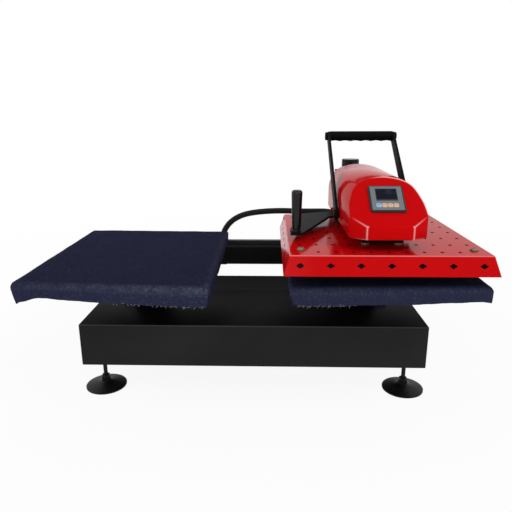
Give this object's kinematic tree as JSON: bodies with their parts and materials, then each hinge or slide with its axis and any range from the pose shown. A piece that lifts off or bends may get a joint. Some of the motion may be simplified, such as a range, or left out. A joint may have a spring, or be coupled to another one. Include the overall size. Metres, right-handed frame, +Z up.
{
  "type": "dual station heat press",
  "caption": "Manual heat press: two cloth-covered lower platens on a low base, and a sliding heated head with a U-shaped press handle.",
  "frame": {"origin": "on the floor, in the middle of the machine's footprint, with X = 0 midway between the two lower platens", "axes": "+X from the left station to the right one, +Y from the front to the back, +Z up; the head is at the right station and open"},
  "size_m": [0.9775, 0.8055, 0.6209],
  "materials": {
    "black_paint": "satin black powder coat",
    "red_paint": "gloss red",
    "bright_steel": "ground steel",
    "zinc": "zinc plated",
    "aluminium": "machined",
    "bronze": "sintered bronze",
    "navy_cloth": "speckled navy cloth",
    "silicone_foam": "matt",
    "mat_fibre": "matt",
    "sleeve_braid": "black braid",
    "black_plastic": "matt black",
    "black_rubber": "matt black",
    "foot_rubber": "matt black, with a plated stud",
    "panel_grey": "matt grey",
    "display": "dark window",
    "key_blue": "gloss",
    "key_orange": "gloss",
    "element_sheath": "dull, heat stained"
  },
  "bodies": {
    "base": {"front_housing": "black_paint", "housing_bottom_plate": "black_paint", "rear_deck": "black_paint", "mains_inlet": "black_plastic", "side_members": "black_paint", "rear_beam": "black_paint", "guide_rails": "bright_steel", "end_stops": "black_rubber", "junction_box": "black_plastic", "hose_gland": "black_plastic", "wiring_hose": "sleeve_braid", "solid_state_relay": "aluminium", "lock_nuts": "zinc", "platen_stands": "black_paint", "platen_spiders": "black_paint", "lower_plates": "aluminium", "foam_pads": "silicone_foam", "pad_cover_left": "navy_cloth", "pad_cover_right": "navy_cloth"},
    "front_left_foot": {"foot_front_left": "foot_rubber"},
    "front_right_foot": {"foot_front_right": "foot_rubber"},
    "rear_left_foot": {"foot_rear_left": "foot_rubber"},
    "rear_right_foot": {"foot_rear_right": "foot_rubber"},
    "carriage": {"saddle": "black_paint", "bearing_blocks": "bright_steel", "column": "black_paint", "column_gland": "black_plastic"},
    "arm": {"lift_sleeve": "black_paint", "arm_cheeks": "black_paint", "guide_blocks": "black_paint", "bushes": "bronze", "return_springs": "bright_steel", "head_shroud": "red_paint", "shroud_brackets": "black_paint", "grip_bracket": "black_paint", "side_grip": "black_rubber", "controller_case": "panel_grey", "display_window": "display"},
    "power_key": {"key_power": "key_blue"},
    "set_key": {"key_set": "key_orange"},
    "down_key": {"key_down": "key_orange"},
    "up_key": {"key_up": "key_orange"},
    "knob": {"pressure_knob": "black_plastic", "lift_screw": "zinc"},
    "handle": {"handle_arms": "black_paint", "handle_bar": "black_paint", "handle_grip": "black_plastic", "handle_shaft": "bright_steel", "press_cam": "bright_steel"},
    "press_head": {"crosshead": "black_paint", "roller_pin": "bright_steel", "guide_rods": "bright_steel", "spring_collars": "bright_steel", "hanger_bolts": "zinc", "heating_element": "element_sheath", "heat_block": "aluminium", "insulation_mat": "mat_fibre", "heat_cover": "red_paint", "cover_screws": "zinc"},
    "cam_roller": {"roller": "bright_steel"}
  },
  "joints": [
    {"name": "shuttle", "type": "slide", "parent": "base", "child": "carriage", "axis": [1, 0, 0], "range_m": [-0.564, 0], "deforming": ["wiring_hose"]},
    {"name": "arm_lift", "type": "slide", "parent": "carriage", "child": "arm", "axis": [0, 0, 1], "range_m": [0, 0.006]},
    {"name": "knob_turn", "type": "hinge", "parent": "carriage", "child": "knob", "pos_m": [0.282, 0.187, 0.512], "axis": [0, 0, 1], "range_deg": [0, 1080]},
    {"name": "press", "type": "slide", "parent": "arm", "child": "press_head", "axis": [0, 0, -1], "range_m": [0, 0.0212], "stiffness_N_per_m": 2000, "springref_m": -0.14, "deforming": ["return_springs"]},
    {"name": "handle_turn", "type": "hinge", "parent": "arm", "child": "handle", "pos_m": [0.282, -0.183, 0.438], "axis": [1, 0, 0], "range_deg": [0, 110]},
    {"name": "roller_spin", "type": "hinge", "parent": "press_head", "child": "cam_roller", "pos_m": [0.282, -0.183, 0.405], "axis": [1, 0, 0], "continuous": true},
    {"name": "power_press", "type": "slide", "parent": "arm", "child": "power_key", "axis": [0, 0.6247, -0.7809], "range_m": [0, 0.0012], "stiffness_N_per_m": 400},
    {"name": "set_press", "type": "slide", "parent": "arm", "child": "set_key", "axis": [0, 0.6247, -0.7809], "range_m": [0, 0.0012], "stiffness_N_per_m": 400},
    {"name": "down_press", "type": "slide", "parent": "arm", "child": "down_key", "axis": [0, 0.6247, -0.7809], "range_m": [0, 0.0012], "stiffness_N_per_m": 400},
    {"name": "up_press", "type": "slide", "parent": "arm", "child": "up_key", "axis": [0, 0.6247, -0.7809], "range_m": [0, 0.0012], "stiffness_N_per_m": 400},
    {"name": "front_left_foot_turn", "type": "hinge", "parent": "base", "child": "front_left_foot", "pos_m": [-0.375, -0.213, 0], "axis": [0, 0, 1], "continuous": true},
    {"name": "front_right_foot_turn", "type": "hinge", "parent": "base", "child": "front_right_foot", "pos_m": [0.375, -0.213, 0], "axis": [0, 0, 1], "continuous": true},
    {"name": "rear_left_foot_turn", "type": "hinge", "parent": "base", "child": "rear_left_foot", "pos_m": [-0.375, 0.257, 0], "axis": [0, 0, 1], "continuous": true},
    {"name": "rear_right_foot_turn", "type": "hinge", "parent": "base", "child": "rear_right_foot", "pos_m": [0.375, 0.257, 0], "axis": [0, 0, 1], "continuous": true}
  ],
  "couplings": [
    {"joint": "knob_turn", "follows": "arm_lift", "rad_per_m": 3141.6},
    {"joint": "handle_turn", "follows": "press", "rad_per_m": 90.559}
  ]
}
